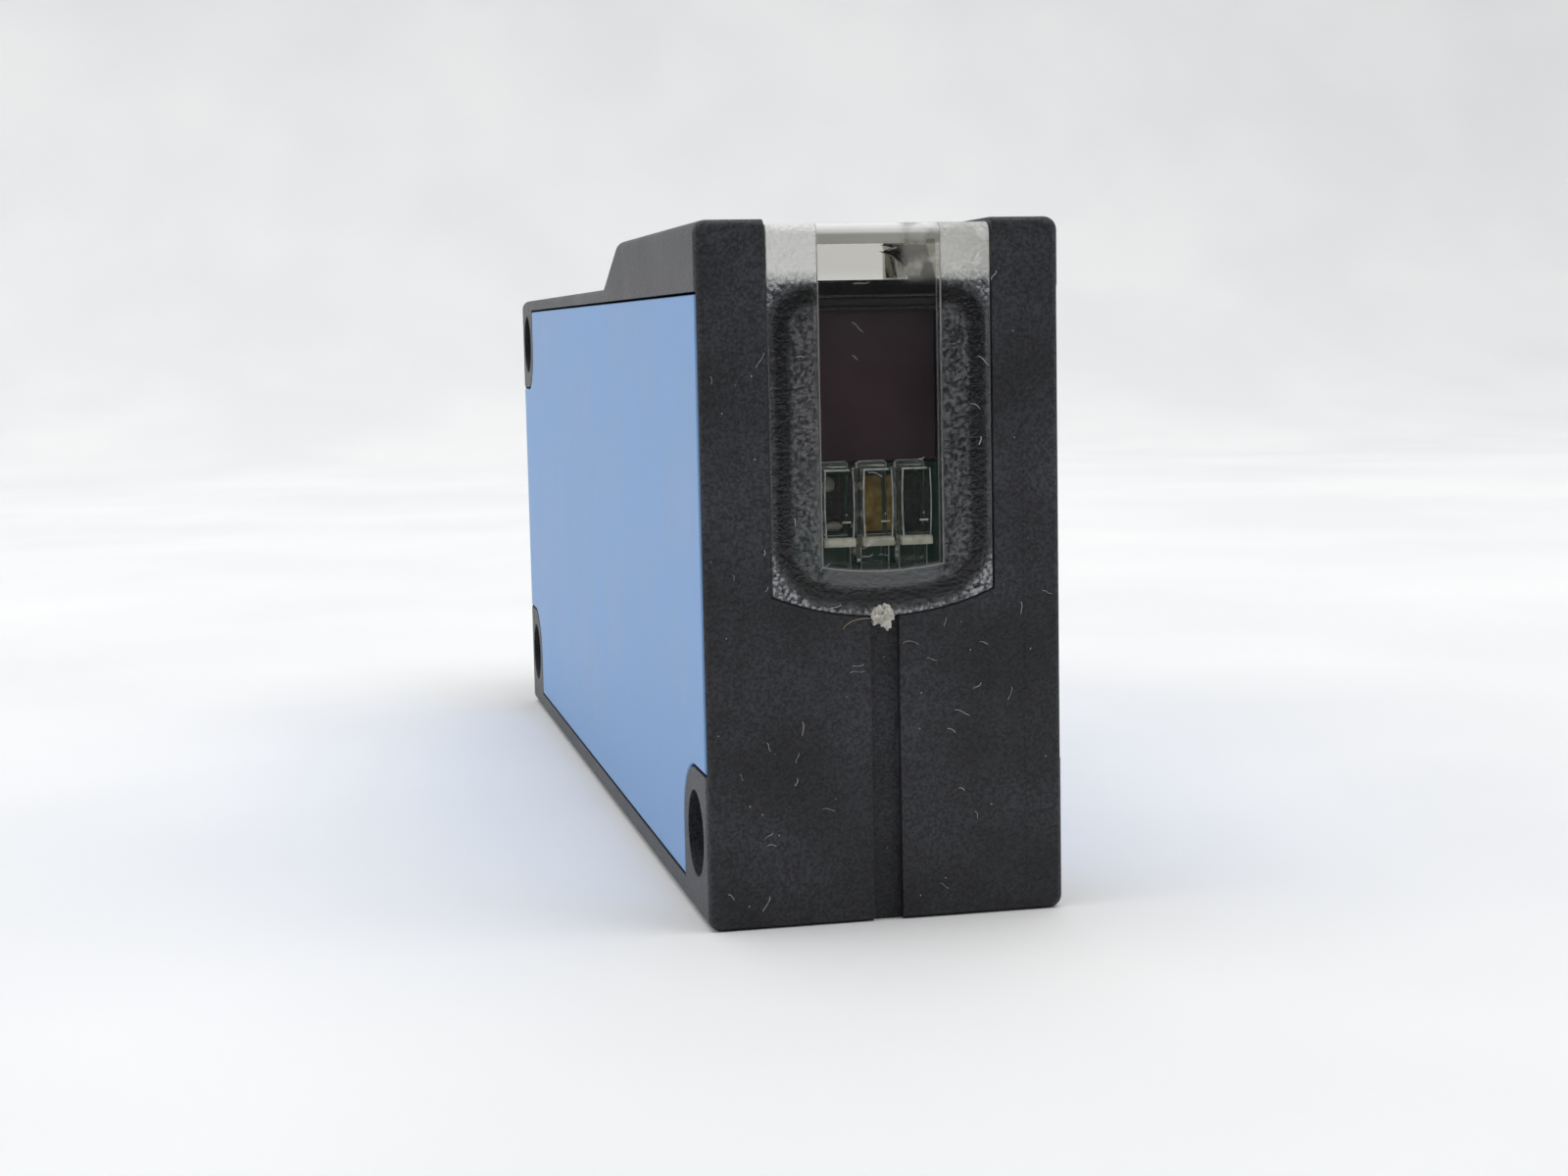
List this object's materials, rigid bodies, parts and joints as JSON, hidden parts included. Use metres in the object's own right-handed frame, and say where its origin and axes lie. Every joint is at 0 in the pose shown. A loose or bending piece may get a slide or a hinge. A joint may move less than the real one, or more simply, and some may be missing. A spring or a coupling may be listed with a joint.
{
  "type": "photoelectric sensor",
  "caption": "Slim photoelectric sensor: black housing with blue side covers, clear wrap-round window, three cross holes and a round plug-in connector.",
  "frame": {"origin": "centre of the housing's rear face, the flat face that it rests on", "axes": "+Z towards the optical face that the light leaves through, -Y towards the end with the indicator window, +Y towards the connector, +X across the narrow width"},
  "size_m": [0.0176, 0.0875, 0.0335],
  "materials": {
    "housing_black": "fine spark-eroded grain, satin black",
    "cover_blue": "smooth light blue, satin",
    "window_clear": "clear, polished in the middle and frosted at the border",
    "seal_black": "matt black",
    "optics_dark": "glossy dark purple-brown",
    "board_green": "green solder mask",
    "chip_black": "moulded black component body",
    "led_amber": "amber lamp body",
    "led_white": "whitish lamp body",
    "led_green": "pale green lamp body",
    "rotor_grey": "light grey moulded plastic",
    "nickel_plate": "nickel-plated brass",
    "gold_plate": "gold-plated contact",
    "aluminium_can": "drawn aluminium can"
  },
  "bodies": {
    "sensor": {"housing": "housing_black", "left_side_cover": "cover_blue", "right_side_cover": "cover_blue", "front_window": "window_clear", "window_seal": "seal_black", "optics_carrier": "optics_dark", "receiver_lens": "window_clear", "sender_lens": "window_clear", "optics_board": "board_green", "receiver_photodiode": "chip_black", "sender_led": "led_amber", "light_guide": "window_clear", "display_board": "board_green", "indicator_led_left": "led_white", "indicator_led_middle": "led_amber", "indicator_led_right": "led_green", "sensitivity_body": "chip_black", "selector_body": "chip_black", "sensitivity_seal": "seal_black", "selector_seal": "seal_black", "control_board": "board_green", "main_board": "board_green", "receiver_amplifier": "chip_black", "microcontroller": "chip_black", "output_transistor": "chip_black", "protection_diode": "chip_black", "storage_capacitor": "aluminium_can", "board_link": "chip_black", "connector_sleeve": "nickel_plate", "connector_seal": "seal_black", "connector_lock_nut": "nickel_plate", "connector_insert": "chip_black", "connector_board": "board_green", "contact_pin_1": "gold_plate", "contact_pin_2": "gold_plate", "contact_pin_3": "gold_plate", "contact_pin_4": "gold_plate"},
    "sensitivity_adjuster": {"sensitivity_rotor": "rotor_grey"},
    "mode_selector": {"selector_rotor": "rotor_grey"}
  },
  "joints": [
    {"name": "sensitivity_turn", "type": "hinge", "parent": "sensor", "child": "sensitivity_adjuster", "pos_m": [0, -0.02475, 0.0005], "axis": [0, 0, 1], "range_deg": [-135, 135]},
    {"name": "selector_turn", "type": "hinge", "parent": "sensor", "child": "mode_selector", "pos_m": [0, -0.01475, 0.0005], "axis": [0, 0, 1], "range_deg": [0, 180]}
  ]
}
